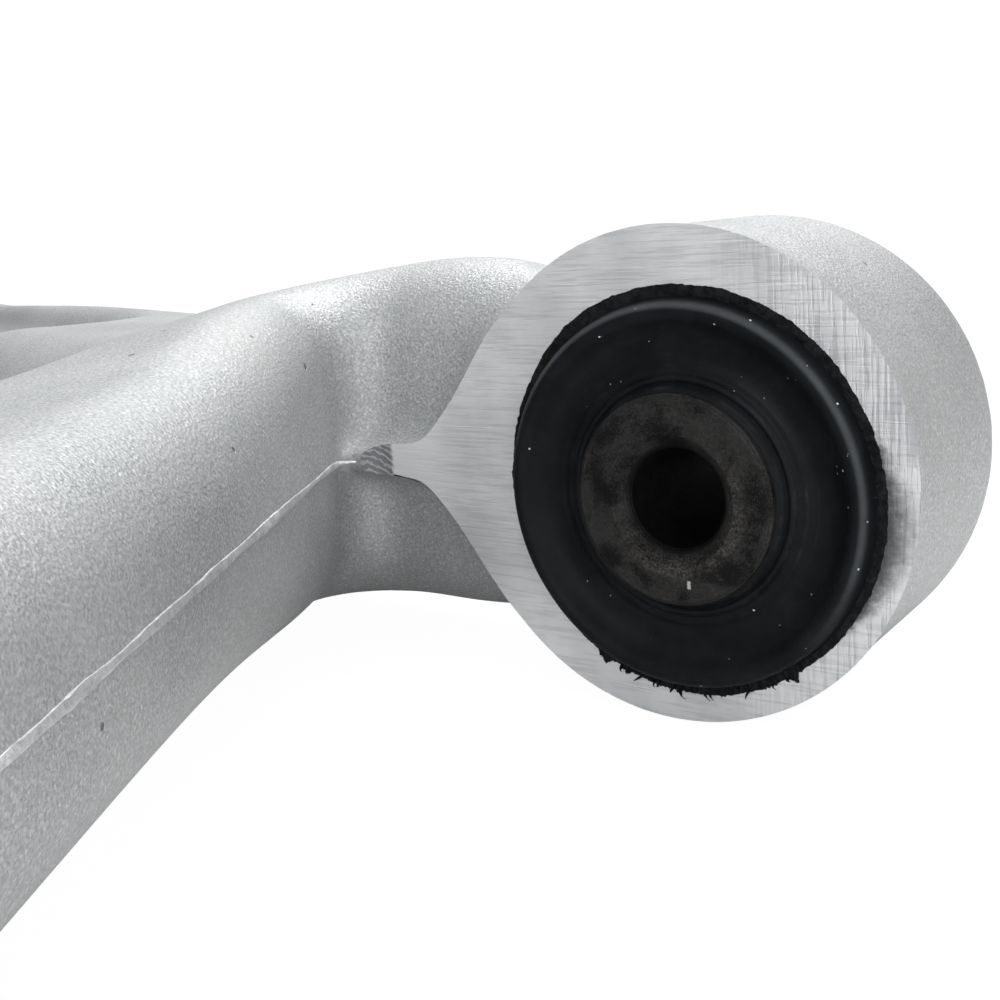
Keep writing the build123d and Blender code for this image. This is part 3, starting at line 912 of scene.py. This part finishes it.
# finishes of the parts whose CAD shape is shown as it is
def finishCarried():
    shell = turnedMetal("shellSteel", (0.06, 0.06, 0.062), (0.13, 0.13, 0.13), 0.6, 0.42, 0.5, 1)
    rearShell = turnedMetal("rearShellSteel", (0.06, 0.06, 0.062), (0.13, 0.13, 0.13), 0.6, 0.42, 0.5)
    can = turnedMetal("canSteel", (0.24, 0.245, 0.25), (0.36, 0.365, 0.37), 0.85, 0.3, 0.4)
    spring = turnedMetal("springSteel", (0.035, 0.034, 0.035), (0.09, 0.088, 0.086), 0.8, 0.32, 0.6)
    plate = turnedMetal("plateSteel", (0.2, 0.2, 0.205), (0.3, 0.3, 0.305), 0.85, 0.35, 0.35)
    nut = turnedMetal("nutSteel", (0.3, 0.3, 0.295), (0.46, 0.46, 0.45), 0.8, 0.38, 0.9)
    bearing = mouldedPlastic("bearingPlastic", (0.42, 0.4, 0.34), (0.55, 0.53, 0.46))
    nylon = mouldedPlastic("insertNylon", (0.03, 0.1, 0.3), (0.05, 0.15, 0.4))
    front = sleeveSteel("frontSleeveSteel", (0, 0, 0), (1000, 0, 1000))
    middle = (rearBoss["centre"][0] * mm, rearBoss["centre"][1] * mm, 0)
    rear = sleeveSteel("rearSleeveSteel", middle, (1000, 1000, 0))
    chosen = {
        "front_bush_outer_sleeve": shell, "front_bush_inner_sleeve": front,
        "rear_bush_outer_sleeve": rearShell, "rear_bush_inner_sleeve": rear,
        "ball_joint_housing": can, "ball_bearing_shell": bearing, "thrust_pad": bearing,
        "thrust_plate": plate, "preload_spring": spring, "cover_plate": plate, "housing_circlip": spring,
        "boot_lower_ring": spring, "boot_upper_ring": spring, "boot_seal_collar": shell, "stud_nut": nut,
        "nut_locking_insert": nylon,
    }
    for name, finish in chosen.items():
        for slot in nodes[name].material_slots:
            slot.material = finish.mat
    print("finishes on", len(chosen), "carried parts")


# place in millimetres, angles in degrees
camera = {"place": (71.15, -157.92, 33.8), "yaw": -36.09, "pitch": -12.28, "roll": -3.9, "lens": 46.8}

# sizes in metres; a light is its place, what it points at, its size and its power
stage = {
    "clean": 0.86, "glow": 1.12, "floor": 12,
    "horizon": (0.2, 0.205, 0.21), "zenith": (0.72, 0.73, 0.74), "sky": 1.03,
    "lights": {
        "overhead": ((-0.1, 0.3, 0.8), (0, -0.02, 0), 0.7, 8.2),
        "front": ((0.15, -0.75, 0.28), (0, -0.02, 0), 0.5, 2.4),
        "side": ((0.7, -0.4, 0.22), (0, -0.02, 0), 0.4, 1.5),
    },
}


def aimCamera():
    yaw, pitch, roll = (math.radians(camera[k]) for k in ("yaw", "pitch", "roll"))
    ahead = Vector((math.sin(yaw) * math.cos(pitch), math.cos(yaw) * math.cos(pitch), math.sin(pitch)))
    right = Vector((math.cos(yaw), -math.sin(yaw), 0))
    up = right.cross(ahead)
    side = right * math.cos(roll) + up * math.sin(roll)
    top = up * math.cos(roll) - right * math.sin(roll)
    lens = bpy.data.cameras.new("camera")
    lens.lens = camera["lens"]
    lens.sensor_width = 36
    lens.clip_start = 0.005
    made = bpy.data.objects.new("camera", lens)
    turned = Matrix((side, top, -ahead)).transposed().to_4x4()
    made.matrix_world = Matrix.Translation(Vector(camera["place"]) * mm) @ turned
    bpy.context.scene.collection.objects.link(made)
    bpy.context.scene.camera = made


def areaLight(name, place, target, size, power):
    light = bpy.data.lights.new(name, "AREA")
    light.shape = "DISK"
    light.size = size
    light.energy = power
    made = bpy.data.objects.new(name, light)
    made.location = place
    made.rotation_euler = (Vector(target) - Vector(place)).to_track_quat("-Z", "Y").to_euler()
    bpy.context.scene.collection.objects.link(made)


def makeStage():
    floorMat = Material("paleFloor")
    paper = floorMat.mix(floorMat.noise(0.3, 2), (0.72, 0.72, 0.72), (0.75, 0.75, 0.75))
    floorMat.set(Base_Color=paper, Roughness=0.9)
    glow = floorMat.node("ShaderNodeEmission", {}, {"Strength": stage["glow"]})
    seen = floorMat.node("ShaderNodeLightPath", {}, {}, "Is Camera Ray")
    lit = Wire(floorMat, floorMat.shader.outputs[0])
    both = floorMat.node("ShaderNodeMixShader", {}, {0: seen * stage["clean"], 1: lit, 2: glow})
    floorMat.plug(floorMat.out.inputs["Surface"], both)
    low = cadBox[0].z - 0.0003
    wide = stage["floor"]
    corners = [(-wide, -wide, low), (wide, -wide, low), (wide, wide, low), (-wide, wide, low)]
    meshFrom("floor", corners, [(0, 1, 2, 3)], floorMat)
    world = bpy.data.worlds.new("studio")
    world.use_nodes = True
    tree = world.node_tree
    ground = tree.nodes["Background"]
    place = tree.nodes.new("ShaderNodeTexCoord")
    split = tree.nodes.new("ShaderNodeSeparateXYZ")
    ramp = tree.nodes.new("ShaderNodeValToRGB")
    ramp.color_ramp.elements[0].position = 0.0
    ramp.color_ramp.elements[0].color = (*stage["horizon"], 1)
    ramp.color_ramp.elements[1].position = 0.9
    ramp.color_ramp.elements[1].color = (*stage["zenith"], 1)
    path = tree.nodes.new("ShaderNodeLightPath")
    shown = tree.nodes.new("ShaderNodeMix")
    shown.data_type = "RGBA"
    shown.inputs[7].default_value = (1, 1, 1, 1)
    tree.links.new(place.outputs["Generated"], split.inputs[0])
    tree.links.new(split.outputs[2], ramp.inputs[0])
    tree.links.new(path.outputs["Is Camera Ray"], shown.inputs[0])
    tree.links.new(ramp.outputs[0], shown.inputs[6])
    tree.links.new(shown.outputs[2], ground.inputs[0])
    ground.inputs[1].default_value = stage["sky"]
    bpy.context.scene.world = world
    for name, light in stage["lights"].items():
        areaLight(name, *light)
    bpy.context.scene.view_settings.view_transform = "Standard"


aimCamera()
makeStage()
print("camera, floor and lights are set")
skin = blastedAluminium()
milled = milledAluminium()
forging = makeForging(skin, milled)
makePartingLine(forging, partingAluminium())
frontFinish = mouldedRubber("frontRubber", (0, 0, 0), 1.0)
torn = tornRubber()
makeFrontRubber(frontFinish)
makeFlash(torn)
makeShavings(torn)
print("front bush is made")
makeRearRubber(mouldedRubber("rearRubber", (rearBoss["centre"][0] * mm, 0, rearBoss["centre"][1] * mm), 0.0))
makeBoot(mouldedRubber("bootRubber", (0, 0, 0), 0.0))
makeStud(turnedMetal("studSteel", (0.3, 0.3, 0.305), (0.42, 0.42, 0.42), 0.9, 0.28, 0.3))
print("rear bush and ball joint are made")
finishCarried()
